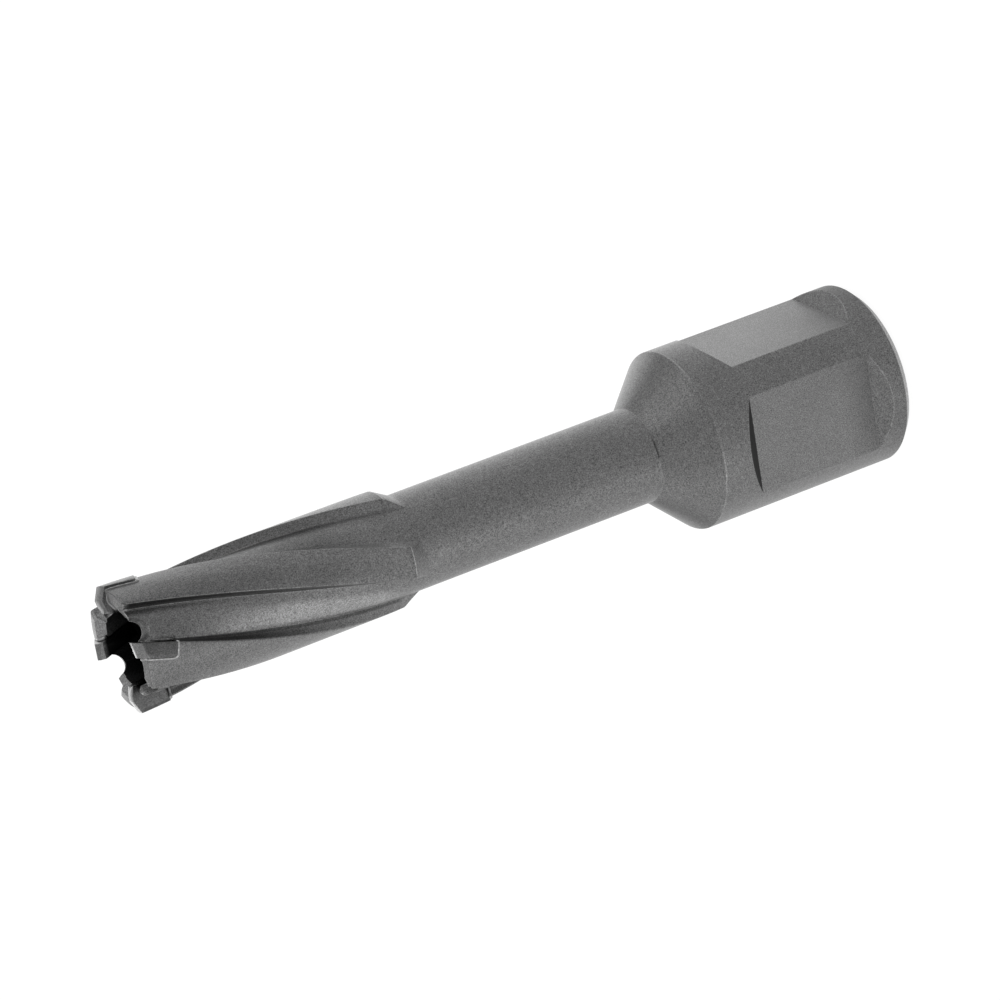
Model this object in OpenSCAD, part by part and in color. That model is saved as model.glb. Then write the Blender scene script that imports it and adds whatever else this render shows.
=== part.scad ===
// Annular cutter with four brazed carbide tips on a straight shank with two clamping flats.
// The tool stands on its shank end, the axis is Z, and the teeth point up.

/* [Shank] */
// Diameter of the clamping shank
shank_d = 19.05; // [18:0.05:20]
// Length of the full-diameter shank
shank_l = 23; // [21:0.1:26]
// Chamfer round the shank end
shank_chamfer = 0.9; // [0.5:0.1:1.2]
// Depth of the two clamping flats below the shank surface
flat_depth = 1.6; // [1.2:0.05:2]
// Height at which the lower ramp meets the flat
flat_from = 3.9; // [3.4:0.1:4.6]
// Height at which the upper ramp meets the flat
flat_to = 18.2; // [16:0.1:19.5]
// Angle between the two flats
flat_spread = 90; // [80:1:120]
// Diameter of the pilot-pin bore through the shank
pin_bore_d = 6.4; // [6.2:0.05:6.8]
// Countersink at the open end of the pilot-pin bore
pin_countersink = 0.4; // [0.2:0.05:0.8]

/* [Neck] */
// Diameter of the neck, which is also the floor of the flutes
neck_d = 10; // [9.6:0.1:10.4]
// Length of the cone from the shank down to the neck
cone_l = 4.8; // [4:0.1:6]
// Fillet where the cone meets the neck
neck_fillet = 0.3; // [0.2:0.1:1]

/* [Head] */
// Height of the tip edges above the shank end
total_l = 87.74; // [84:0.02:92]
// Diameter cut by the tips
cut_d = 13; // [12.8:0.05:13.4]
// How far the tips stand out beyond the steel lands
tip_stand_out = 0.34; // [0.2:0.02:0.45]
// How much thinner the lands are at their back end, on the radius
land_back_taper = 0.1; // [0:0.02:0.2]
// Length of the land from its back edge to the tip edges
land_l = 30.6; // [26:0.1:34]
// Length of the bevel from the back of a land down to the neck
land_bevel_l = 1.85; // [1:0.05:2.5]
// Diameter of the bore that takes the slug
slug_d = 7.9; // [7.6:0.05:8.2]
// Depth of the slug bore below the tip edges
slug_l = 57; // [50:0.5:58]

/* [Flutes] */
// Axial length of one full turn of the flutes
flute_lead = 121.6; // [100:0.2:160]
// Width of a land at the flute floor, in degrees
land_root = 47.6; // [42:0.2:52]
// Width of a land at its outer edge beside the tips, in degrees
land_top_front = 48.2; // [42:0.2:52]
// Width of a land at its outer edge at the back, in degrees
land_top_back = 30.2; // [26:0.2:40]
// How far the land top lags behind its root, in degrees
land_lag = 1.7; // [0:0.1:3]
// How far the leading side of a land stands ahead of its tip, in degrees
land_ahead = 1.1; // [0:0.1:2]

/* [Tips] */
// Angle of the first tip round the axis
tip_phase = 15.5; // [0:0.5:90]
// Thickness of a tip
tip_t = 1.5; // [1.2:0.05:1.8]
// Length of a tip along its own face
tip_l = 4.4; // [3.8:0.1:5]
// Round at the lower back corner of a tip
tip_round = 0.35; // [0.2:0.05:0.6]
// Lean of a tip to the axis, following the flute
tip_lean = 16.5; // [14:0.5:20]
// Distance of the tip edge ahead of the tool's centre line
rake_ahead = 1.12; // [0.8:0.02:1.4]
// Radius at which the tip has its point
tip_apex_r = 5.1; // [4.9:0.05:5.3]
// Slope of the end of a tip towards the bore
bevel_in = 18.5; // [12:0.5:25]
// Slope of the end of a tip towards the outside
bevel_out = 22.8; // [15:0.2:30]
// Clearance slope behind the cutting edge
end_relief = 5.5; // [3:0.5:9]
// Back taper of the outside of a tip
side_relief = 1; // [0.5:0.25:2]
// How far a tip stands into the slug bore
tip_stand_in = 0.18; // [0.1:0.02:0.3]
// Thickness of the filler metal behind and below a tip
braze_t = 0.2; // [0.1:0.02:0.3]

/* [Steel end] */
// How far the crest of the steel lies behind the tip edges
steel_back = 0.64; // [0.5:0.02:0.8]
// Slope of the steel end towards the bore
steel_slope_in = 30; // [20:1:35]
// Slope of the steel end towards the outside
steel_slope_out = 6; // [2:1:12]

/* [Gullets] */
// Depth of a gullet below the tip edges, at the slug bore
gullet_depth = 2.02; // [1.7:0.02:2.4]
// Radius of the gullet bottom at the slug bore
gullet_r = 1.1; // [0.9:0.05:1.3]
// Angle at which each side of a gullet opens outward
gullet_flare = 15; // [10:1:18]

/* [Hidden] */
$fn = 96;

// Turned profile
shank_r = shank_d / 2;
neck_r = neck_d / 2;
cone_top = shank_l + cone_l;
cone_turn = atan2(shank_r - neck_r, cone_l);
cut_r = cut_d / 2;
land_r = cut_r - tip_stand_out;
land_back_r = land_r - land_back_taper;
land_back_z = total_l - land_l;
slug_r = slug_d / 2;

// How far a cut or a blank runs past the surface that it goes through
over = 2;

// Teeth
tooth_count = 4;
tooth_pitch = 360 / tooth_count;
tip_in_r = slug_r - tip_stand_in;
apex_u = sqrt(tip_apex_r * tip_apex_r - rake_ahead * rake_ahead);
tip_mid_z = total_l - tip_l / 2;
land_root_mid = asin(rake_v(tip_mid_z) / neck_r) + land_ahead - land_root / 2;
land_steps = 44;

gullet_z = total_l - gullet_depth + gullet_r;
gullet_v = rake_v(gullet_z) + gullet_r * cos(gullet_flare) - 0.05;
gullet_u = sqrt(slug_r * slug_r - gullet_v * gullet_v);

// Sideways place of the rake face at a height
function rake_v(z) = rake_ahead - (total_l - z) * tan(tip_lean);
// Angle of the middle of a land's root at a height
function root_mid(z) = land_root_mid + (z - tip_mid_z) * 360 / flute_lead;
// Outer width of a land at a height
function top_width(z) =
    land_top_back + (land_top_front - land_top_back) * (z - land_back_z) / (tip_mid_z - land_back_z);
function polar(r, a) = [r * cos(a), r * sin(a)];
// Point on a land's side wall, from the floor at k = 0 to the outer edge at k = 1
function wall_point(z, side, k) =
    let (root = polar(neck_r, root_mid(z) + side * land_root / 2),
         edge = polar(land_r, root_mid(z) - land_lag + side * top_width(z) / 2))
    root + (edge - root) * k;

// Turned and milled body

// Shank, cone and neck, with the neck running on as the core of the head
module core_blank() {
    rotate_extrude() union() {
        polygon([[0, 0], [shank_r - shank_chamfer, 0], [shank_r, shank_chamfer], [shank_r, shank_l],
                 [neck_r, cone_top], [neck_r, total_l + over], [0, total_l + over]]);
        neck_fillet_section();
    }
}

// Hollow round between the cone and the neck, as a section
module neck_fillet_section() {
    tangent_l = neck_fillet * tan(cone_turn / 2);
    centre = [neck_r + neck_fillet, cone_top + tangent_l];
    difference() {
        polygon([[neck_r, cone_top],
                 [neck_r + tangent_l * sin(cone_turn), cone_top - tangent_l * cos(cone_turn)],
                 centre, [neck_r, centre.y]]);
        translate(centre) circle(neck_fillet);
    }
}

// Full round of the head before fluting, bevelled down into the neck at its back
module head_blank() {
    bevel_rise = (land_back_r - neck_r) / land_bevel_l;
    sunk = 0.4;
    rotate_extrude() polygon([
        [0, land_back_z - land_bevel_l - sunk / bevel_rise],
        [neck_r - sunk, land_back_z - land_bevel_l - sunk / bevel_rise],
        [land_back_r, land_back_z], [land_r, total_l], [land_r, total_l + over], [0, total_l + over]]);
}

// Everything below the crest of the steel end
module below_steel_end() {
    wide = shank_d;
    rotate_extrude() polygon([
        [0, -over], [wide, -over], [wide, total_l - steel_back - (wide - tip_apex_r) * tan(steel_slope_out)],
        [tip_apex_r, total_l - steel_back], [0, total_l - steel_back - tip_apex_r * tan(steel_slope_in)]]);
}

// Helical bar that leaves one land standing between two flutes
module land_bar() {
    low = land_back_z - land_bevel_l - over;
    high = total_l + over;
    sunk = -0.5;
    raised = 2;
    rings = [for (i = [0 : land_steps])
        let (z = low + (high - low) * i / land_steps)
        for (p = [wall_point(z, -1, sunk), wall_point(z, -1, raised),
                  wall_point(z, 1, raised), wall_point(z, 1, sunk)]) [p.x, p.y, z]];
    sides = [for (i = [0 : land_steps - 1]) for (j = [0 : 3])
        let (a = 4 * i + j, b = 4 * i + (j + 1) % 4)
        for (t = [[a, a + 4, b], [b, a + 4, b + 4]]) t];
    last = 4 * land_steps;
    caps = [[0, 1, 2], [0, 2, 3], [last + 2, last + 1, last], [last + 3, last + 2, last]];
    polyhedron(rings, concat(sides, caps));
}

module lands() {
    difference() {
        intersection() {
            head_blank();
            union() for (i = [1 : tooth_count]) at_tooth(i) land_bar();
        }
        for (i = [1 : tooth_count]) at_tooth(i) rake_clearance();
    }
}

// Clamping flat with a 45 degree ramp at each end
module flat_cut() {
    flat_r = shank_r - flat_depth;
    clear_r = shank_r + over;
    ramp_l = clear_r - flat_r;
    rotate([90, 0, 0]) linear_extrude(2 * shank_d, center = true) polygon([
        [flat_r, flat_from], [flat_r, flat_to], [clear_r, flat_to + ramp_l], [clear_r, flat_from - ramp_l]]);
}

// Round-bottomed chip space ahead of a tip, widening outward
module gullet_cut() {
    inward = 1.5;
    outward = 4;
    in_r = gullet_r - inward * tan(gullet_flare);
    out_r = gullet_r + outward * tan(gullet_flare);
    translate([gullet_u, gullet_v, gullet_z]) rotate([0, 0, gullet_flare]) {
        translate([-inward, 0, 0]) rotate([0, 90, 0]) cylinder(h = inward + outward, r1 = in_r, r2 = out_r);
        linear_extrude(gullet_depth + over) polygon([
            [-inward, -in_r], [outward, -out_r], [outward, out_r], [-inward, in_r]]);
    }
}

module cutter_body() {
    color("#6e6e6e") difference() {
        intersection() {
            union() {
                core_blank();
                lands();
            }
            below_steel_end();
        }
        translate([0, 0, -over]) cylinder(h = total_l, d = pin_bore_d);
        translate([0, 0, -pin_countersink])
            cylinder(h = 2 * pin_countersink, d1 = pin_bore_d + 4 * pin_countersink, d2 = pin_bore_d);
        translate([0, 0, total_l - slug_l]) cylinder(h = slug_l + over, d = slug_d);
        for (a = [-90, flat_spread - 90]) rotate([0, 0, a]) flat_cut();
        for (i = [1 : tooth_count]) at_tooth(i) {
            tip_bar(braze_t);
            gullet_cut();
        }
    }
}

// Brazed tips

// Places a tooth's own frame: X outward, Y ahead in the cutting direction
module at_tooth(i) {
    rotate([0, 0, tip_phase + (i - 1) * tooth_pitch]) children();
}

// Bar along X with the side outline of a tip, grown behind and below by a margin and run on ahead
module tip_bar(grow = 0, ahead = 0) {
    thick = tip_t + grow;
    low = -tip_l - grow;
    round_r = tip_round + grow;
    leaning_bar() {
        translate([-thick, low + round_r]) square([thick + ahead, over - low - round_r]);
        translate([round_r - thick, low]) square([thick + ahead - round_r, round_r]);
        translate([round_r - thick, low + round_r]) circle(round_r);
    }
}

// Space ahead of a tip's rake face, from the foot of its seam upward
module rake_clearance() {
    low = -tip_l - braze_t;
    leaning_bar() translate([0, low]) square([tip_t, over - low]);
}

// Extrudes an outline outward, with its Y axis leaning along the rake face
module leaning_bar() {
    rotate([90, 0, 90]) linear_extrude(cut_r + over)
        translate([rake_ahead, total_l]) rotate(-tip_lean) children();
}

// Space below the two end slopes of a tip
module below_tip_end() {
    out = cut_r;
    translate([0, rake_ahead, total_l]) rotate([end_relief, 0, 0]) rotate([90, 0, 0])
        linear_extrude(cut_d, center = true) polygon([
            [apex_u, 0], [apex_u + out, -out * tan(bevel_out)], [apex_u + out, -2 * tip_l], [0, -2 * tip_l],
            [0, -apex_u * tan(bevel_in)]]);
}

// Ring between the slug wall and the cut wall, tapering back on its outside
module tip_ring() {
    low = total_l - tip_l - over;
    corner_z = total_l - (cut_r - tip_apex_r) * tan(bevel_out);
    rotate_extrude() polygon([
        [tip_in_r, low], [cut_r - (corner_z - low) * tan(side_relief), low],
        [cut_r, corner_z], [cut_r, total_l + over], [tip_in_r, total_l + over]]);
}

module carbide_tip(i) {
    color("#8d8f91") at_tooth(i) intersection() {
        tip_bar();
        tip_ring();
        below_tip_end();
    }
}

module braze_seam(i) {
    color("#c9c5b8") at_tooth(i) difference() {
        intersection() {
            tip_bar(braze_t);
            head_blank();
            below_steel_end();
        }
        tip_bar(ahead = over);
        translate([0, 0, total_l - slug_l]) cylinder(h = slug_l + over, d = slug_d);
    }
}

cutter_body();
for (i = [1 : tooth_count]) {
    carbide_tip(i);
    braze_seam(i);
}
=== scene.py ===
"""Looks of an annular cutter: a blasted steel body with helical flutes, and four brazed carbide tips."""

import logging
import math
from dataclasses import dataclass
from enum import Enum

import bmesh
import bpy
from mathutils import Matrix, Vector


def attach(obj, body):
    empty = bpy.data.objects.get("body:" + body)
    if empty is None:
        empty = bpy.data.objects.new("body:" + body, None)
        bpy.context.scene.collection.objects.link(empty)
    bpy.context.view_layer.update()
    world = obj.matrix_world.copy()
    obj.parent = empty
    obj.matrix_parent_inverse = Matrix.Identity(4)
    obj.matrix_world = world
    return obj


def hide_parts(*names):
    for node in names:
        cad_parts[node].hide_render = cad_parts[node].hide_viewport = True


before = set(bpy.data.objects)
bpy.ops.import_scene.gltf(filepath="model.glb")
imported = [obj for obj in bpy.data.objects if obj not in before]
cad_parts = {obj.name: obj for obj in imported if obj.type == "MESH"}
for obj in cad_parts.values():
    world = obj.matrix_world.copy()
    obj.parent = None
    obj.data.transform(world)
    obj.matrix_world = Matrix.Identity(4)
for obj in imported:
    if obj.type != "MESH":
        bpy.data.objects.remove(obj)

log = logging.getLogger("annular_cutter")

MM = 0.001
DEGREE = math.radians(1)
TINY = 1e-6
ALMOST_STRAIGHT = math.radians(88)
WELD_NEW = 1e-4
WELD_CAD = 1e-3
WELD_CUT = 2e-5
CAD_FLAT = 0.5
RISE = (0.0, 1.0)
FALL = (1.0, 0.0)
TOOTH_COUNT = 4
BODY = "root"

Point2 = tuple[float, float]
Point3 = tuple[float, float, float]
Colour = tuple[float, float, float, float]
Socket = bpy.types.NodeSocket
Piece = bpy.types.Object
Material = bpy.types.Material
Mesh = bpy.types.Mesh


class Slot(Enum):
    """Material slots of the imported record."""

    STEEL = "steel"
    CARBIDE = "carbide"
    BRAZE = "braze"


class Join(Enum):
    """Ways in which one closed mesh changes another."""

    CUT = "DIFFERENCE"
    FUSE = "UNION"


def linear(hex_colour: str) -> Colour:
    """Turns an sRGB hex value into linear light.

    Args:
        hex_colour: Colour such as "#707070".

    Returns:
        Red, green, blue and alpha in linear light.
    """
    channels = [int(hex_colour[i:i + 2], 16) / 255 for i in (1, 3, 5)]
    low = [c / 12.92 if c <= 0.04045 else ((c + 0.055) / 1.055) ** 2.4 for c in channels]
    return low[0], low[1], low[2], 1.0


def polar(radius: float, degrees: float) -> Vector:
    """Point of a plane at a radius and an angle."""
    return Vector((radius * math.cos(math.radians(degrees)), radius * math.sin(math.radians(degrees))))


def heading(point: Vector) -> float:
    """Angle of a point of a plane, in degrees."""
    return math.degrees(math.atan2(point.y, point.x))


def tangent(point: Vector) -> Vector:
    """Direction round the middle of a plane at a point."""
    return Vector((-point.y, point.x)).normalized()


def bow(radius: float, start: float, end: float, steps: int) -> list[Vector]:
    """Points of an arc about the middle of a plane, between two angles in degrees."""
    return [polar(radius, start + (end - start) * i / steps) for i in range(steps + 1)]


def rounded_corner(
    before: Vector, corner: Vector, after: Vector, radius: float, steps: int
) -> list[Vector]:
    """Replaces a corner of an outline with a tangent arc.

    Args:
        before: A point on the line into the corner.
        corner: The sharp corner.
        after: A point on the line out of the corner.
        radius: Radius of the arc.
        steps: Number of chords on the arc.

    Returns:
        The points of the arc, from the first tangent point to the last.
    """
    to_before = (before - corner).normalized()
    to_after = (after - corner).normalized()
    half = math.acos(max(-1.0, min(1.0, to_before.dot(to_after)))) / 2
    if half > ALMOST_STRAIGHT or radius <= TINY:
        return [corner.copy() for _ in range(steps + 1)]
    centre = corner + (to_before + to_after).normalized() * (radius / math.sin(half))
    first = corner + to_before * (radius / math.tan(half)) - centre
    last = corner + to_after * (radius / math.tan(half)) - centre
    sweep = first.angle_signed(last)
    return [centre + Matrix.Rotation(-sweep * i / steps, 2) @ first for i in range(steps + 1)]


def add_node(
    tree: bpy.types.NodeTree,
    kind: str,
    settings: dict | None = None,
    inputs: dict | None = None,
) -> bpy.types.Node:
    """Adds a node, sets it and links it.

    Args:
        tree: Node tree that takes the node.
        kind: Type name of the node.
        settings: Property names and values.
        inputs: Socket names or numbers, with a value or an output socket to link.

    Returns:
        The new node.
    """
    node = tree.nodes.new(kind)
    for name, value in (settings or {}).items():
        setattr(node, name, value)
    for name, value in (inputs or {}).items():
        if isinstance(value, Socket):
            tree.links.new(value, node.inputs[name])
        else:
            node.inputs[name].default_value = value
    return node


def link_object(name: str, data: bpy.types.ID) -> Piece:
    """Makes an object of a mesh, lamp or camera.

    Args:
        name: Name of the object.
        data: Mesh, lamp or camera.

    Returns:
        The new object, linked to the scene.
    """
    made = bpy.data.objects.new(name, data)
    bpy.context.scene.collection.objects.link(made)
    return made


def weld(source: Mesh, mesh: Mesh, reach: float, flatten: float = 0.0) -> None:
    """Merges close points, joins flat faces and turns all faces outward.

    Args:
        source: Mesh that is read.
        mesh: Mesh that takes the result, which can be the same one.
        reach: Distance in millimetres within which points merge.
        flatten: Angle in degrees up to which faces join.
    """
    shell = bmesh.new()
    shell.from_mesh(source)
    bmesh.ops.remove_doubles(shell, verts=shell.verts, dist=reach * MM)
    if flatten:
        limit = math.radians(flatten)
        bmesh.ops.dissolve_limit(shell, angle_limit=limit, verts=shell.verts, edges=shell.edges)
    bmesh.ops.recalc_face_normals(shell, faces=shell.faces)
    shell.to_mesh(mesh)
    shell.free()


def link_mesh(name: str, points: list[Point3], faces: list[tuple[int, ...]]) -> Piece:
    """Makes a closed mesh object.

    Args:
        name: Name of the object and its mesh.
        points: Points in millimetres.
        faces: Corner numbers of each face.

    Returns:
        The new object.
    """
    mesh = bpy.data.meshes.new(name)
    mesh.from_pydata([tuple(c * MM for c in p) for p in points], [], faces)
    weld(mesh, mesh, WELD_NEW)
    return link_object(name, mesh)


def copy_node(node: str, name: str) -> Piece:
    """Copies a solid of the frame as a merged mesh with flat faces in one piece.

    Args:
        node: Name of the frame's node.
        name: Name of the new object.

    Returns:
        The new object.
    """
    mesh = bpy.data.meshes.new(name)
    weld(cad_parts[node].data, mesh, WELD_CAD, CAD_FLAT)
    return link_object(name, mesh)


def bake_modifiers(piece: Piece) -> None:
    """Turns a piece and its modifiers into a plain mesh.

    Args:
        piece: Object whose evaluated shape becomes its own mesh.
    """
    bpy.context.view_layer.update()
    evaluated = piece.evaluated_get(bpy.context.evaluated_depsgraph_get())
    mesh = bpy.data.meshes.new_from_object(evaluated)
    piece.modifiers.clear()
    old = piece.data
    piece.data = mesh
    bpy.data.meshes.remove(old)
    mesh.name = piece.name


def dress(piece: Piece, material: Material, degrees: float) -> None:
    """Gives a piece its one material and smooth shading.

    Args:
        piece: Finished mesh object.
        material: Its material.
        degrees: Angle above which edges are left crisp.
    """
    mesh = piece.data
    mesh.materials.clear()
    mesh.materials.append(material)
    mesh.polygons.foreach_set("use_smooth", [True] * len(mesh.polygons))
    mesh.set_sharp_from_angle(angle=math.radians(degrees))


def aim(outward: Vector) -> Matrix:
    """Turn of a lamp or camera that looks back along a direction."""
    return (-outward).to_track_quat("-Z", "Y").to_matrix().to_4x4()


def combine(piece: Piece, tools: list[Piece], way: Join) -> None:
    """Cuts or fuses closed meshes into a piece, and deletes them.

    Args:
        piece: Closed mesh that is changed.
        tools: Closed meshes.
        way: What the tools do to the piece.
    """
    for tool in tools:
        modifier = piece.modifiers.new(tool.name, "BOOLEAN")
        modifier.operation = way.value
        modifier.solver = "EXACT"
        modifier.use_self = way is Join.FUSE
        modifier.object = tool
    bake_modifiers(piece)
    for tool in tools:
        bpy.data.objects.remove(tool)


def loft(name: str, sections: list[list[Point3]]) -> Piece:
    """Joins outlines of the same number of points into a closed mesh.

    Args:
        name: Name of the new object.
        sections: Outlines in millimetres, in order.

    Returns:
        The closed mesh with a flat face at each end.
    """
    n = len(sections[0])
    points = [p for section in sections for p in section]
    end = n * (len(sections) - 1)
    faces = [tuple(range(n)), tuple(range(end, end + n))]
    for low in range(0, end, n):
        high = low + n
        faces += [(low + i, low + (i + 1) % n, high + (i + 1) % n, high + i) for i in range(n)]
    return link_mesh(name, points, faces)


@dataclass(frozen=True)
class CutterSizes:
    """Driving sizes of the cutter in millimetres and degrees, as its construction gives them."""

    shank_r: float = 9.525
    shank_l: float = 23.0
    shank_chamfer: float = 0.9
    flat_depth: float = 1.6
    flat_from: float = 3.9
    flat_to: float = 18.2
    pin_bore_r: float = 3.2
    pin_countersink: float = 0.4
    neck_r: float = 5.0
    cone_l: float = 4.8
    total_l: float = 87.74
    cut_r: float = 6.5
    land_r: float = 6.16
    land_back_taper: float = 0.1
    land_l: float = 30.6
    land_bevel_l: float = 1.85
    slug_r: float = 3.95
    slug_l: float = 57.0
    flute_lead: float = 121.6
    land_root: float = 47.6
    land_top_front: float = 48.2
    land_top_back: float = 30.2
    land_lag: float = 1.7
    land_ahead: float = 1.1
    tip_phase: float = 15.5
    tip_t: float = 1.5
    tip_l: float = 4.4
    tip_round: float = 0.35
    tip_lean: float = 16.5
    rake_ahead: float = 1.12
    tip_apex_r: float = 5.1
    braze_t: float = 0.2
    steel_back: float = 0.64
    steel_slope_in: float = 30.0
    steel_slope_out: float = 6.0
    gullet_depth: float = 2.02
    gullet_r: float = 1.1
    gullet_flare: float = 15.0

    @property
    def land_back_z(self) -> float:
        """Height of the back edge of the lands."""
        return self.total_l - self.land_l

    @property
    def head_foot_z(self) -> float:
        """Height at which the lands rise from the neck."""
        return self.land_back_z - self.land_bevel_l

    @property
    def tip_mid_z(self) -> float:
        """Height of the middle of the tips."""
        return self.total_l - self.tip_l / 2

    def rake_v(self, z: float) -> float:
        """Sideways place of the rake face at a height."""
        return self.rake_ahead - (self.total_l - z) * math.tan(math.radians(self.tip_lean))

    def root_mid(self, z: float) -> float:
        """Angle of the middle of a land's root at a height, in its tooth's frame."""
        start = math.degrees(math.asin(self.rake_v(self.tip_mid_z) / self.neck_r))
        turned = (z - self.tip_mid_z) * 360 / self.flute_lead
        return start + self.land_ahead - self.land_root / 2 + turned

    def top_width(self, z: float) -> float:
        """Angular width of a land's top at a height."""
        share = (z - self.land_back_z) / (self.tip_mid_z - self.land_back_z)
        return self.land_top_back + (self.land_top_front - self.land_top_back) * share

    def outer_r(self, z: float) -> float:
        """Radius of the land tops at a height, with the bevel at their back."""
        back_r = self.land_r - self.land_back_taper
        if z < self.land_back_z:
            share = (z - self.head_foot_z) / self.land_bevel_l
            return self.neck_r + (back_r - self.neck_r) * max(0.0, share)
        return back_r + self.land_back_taper * (z - self.land_back_z) / self.land_l

    def steel_end_z(self, r: float) -> float:
        """Height of the steel end at a radius."""
        crest = self.total_l - self.steel_back
        if r > self.tip_apex_r:
            return crest - (r - self.tip_apex_r) * math.tan(math.radians(self.steel_slope_out))
        return crest - (self.tip_apex_r - r) * math.tan(math.radians(self.steel_slope_in))

    def leaning(self, x: float, y: float) -> Point2:
        """Sideways place and height of a point given along and across a tip's face.

        Args:
            x: Distance ahead of the rake face.
            y: Distance along the face, upward from the tip's edge.

        Returns:
            The place ahead of the centre line, and the height.
        """
        c, s = math.cos(math.radians(self.tip_lean)), math.sin(math.radians(self.tip_lean))
        return self.rake_ahead + x * c + y * s, self.total_l - x * s + y * c


class Nodes:
    """Adds nodes to one tree."""

    def __init__(self, tree: bpy.types.NodeTree) -> None:
        """Keeps the tree that takes the nodes."""
        self.tree = tree

    def node(
        self, kind: str, settings: dict | None = None, inputs: dict | None = None
    ) -> bpy.types.Node:
        """Adds a node to the tree."""
        return add_node(self.tree, kind, settings, inputs)

    def math(self, operation: str, *values: object) -> Socket:
        """Result of a sum, product or the like of values or sockets."""
        return self.node("ShaderNodeMath", {"operation": operation}, dict(enumerate(values))).outputs[0]


class ShapeTree(Nodes):
    """A geometry node tree with named inputs, which ends in plain geometry with a material."""

    def __init__(self, name: str, sizes: dict[str, float]) -> None:
        """Starts the tree.

        Args:
            name: Name of the tree.
            sizes: Names and values of its inputs.
        """
        self.sizes = sizes
        super().__init__(bpy.data.node_groups.new(name, "GeometryNodeTree"))
        face = self.tree.interface
        face.new_socket("Geometry", in_out="INPUT", socket_type="NodeSocketGeometry")
        for label, value in sizes.items():
            kind = "NodeSocketInt" if isinstance(value, int) else "NodeSocketFloat"
            face.new_socket(label, in_out="INPUT", socket_type=kind)
        face.new_socket("Material", in_out="INPUT", socket_type="NodeSocketMaterial")
        face.new_socket("Geometry", in_out="OUTPUT", socket_type="NodeSocketGeometry")
        self.inputs = self.tree.nodes.new("NodeGroupInput").outputs

    def run(
        self, piece: Piece, geometry: Socket, material: Material
    ) -> None:
        """Ends the tree, runs it on a piece and keeps the result as a plain mesh.

        Args:
            piece: Object whose mesh goes through the tree.
            geometry: The tree's last shape.
            material: Material of the result.
        """
        plain = self.node("GeometryNodeRealizeInstances", inputs={"Geometry": geometry})
        dressed = self.node("GeometryNodeSetMaterial", inputs={
            "Geometry": plain.outputs[0], "Material": self.inputs["Material"]})
        self.node("NodeGroupOutput", inputs={"Geometry": dressed.outputs[0]})
        modifier = piece.modifiers.new(self.tree.name, "NODES")
        modifier.node_group = self.tree
        values = dict(self.sizes, Material=material)
        for item in self.tree.interface.items_tree:
            if item.in_out == "INPUT" and item.name in values:
                modifier[item.identifier] = values[item.name]
        bake_modifiers(piece)


def twist(piece: Piece, sizes: CutterSizes, material: Material) -> None:
    """Turns straight lands into helical ones with a geometry node tree.

    Args:
        piece: Body with straight lands.
        sizes: Sizes of the cutter.
        material: Material of the result.
    """
    tree = ShapeTree("helical_lands", {
        "Lead": sizes.flute_lead * MM, "Foot": sizes.head_foot_z * MM, "Top": sizes.total_l * MM})
    spot = tree.node("GeometryNodeInputPosition").outputs[0]
    height = tree.node("ShaderNodeSeparateXYZ", inputs={0: spot}).outputs["Z"]
    held = tree.node("ShaderNodeClamp", inputs={
        "Value": height, "Min": tree.inputs["Foot"], "Max": tree.inputs["Top"]}).outputs[0]
    turns = tree.math("DIVIDE", tree.math("SUBTRACT", held, tree.inputs["Foot"]), tree.inputs["Lead"])
    turned = tree.node("ShaderNodeVectorRotate", {"rotation_type": "Z_AXIS"}, {
        "Vector": spot, "Angle": tree.math("MULTIPLY", turns, math.tau)}).outputs[0]
    moved = tree.node("GeometryNodeSetPosition", inputs={
        "Geometry": tree.inputs["Geometry"], "Position": turned})
    tree.run(piece, moved.outputs[0], material)


def spread_round(piece: Piece, sizes: CutterSizes, material: Material) -> None:
    """Repeats one tooth's shape round the axis with a geometry node tree.

    Args:
        piece: Shape in the frame of one tooth.
        sizes: Sizes of the cutter.
        material: Material of the result.
    """
    tree = ShapeTree("tooth_ring", {"Count": TOOTH_COUNT, "Phase": math.radians(sizes.tip_phase)})
    spots = tree.node("GeometryNodePoints", inputs={"Count": tree.inputs["Count"]})
    number = tree.node("GeometryNodeInputIndex").outputs[0]
    step = tree.math("DIVIDE", math.tau, tree.inputs["Count"])
    angle = tree.math("ADD", tree.math("MULTIPLY", number, step), tree.inputs["Phase"])
    turn = tree.node("FunctionNodeAxisAngleToRotation", inputs={"Axis": (0, 0, 1), "Angle": angle})
    teeth = tree.node("GeometryNodeInstanceOnPoints", inputs={
        "Points": spots.outputs[0], "Instance": tree.inputs["Geometry"], "Rotation": turn.outputs[0]})
    tree.run(piece, teeth.outputs[0], material)


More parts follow.
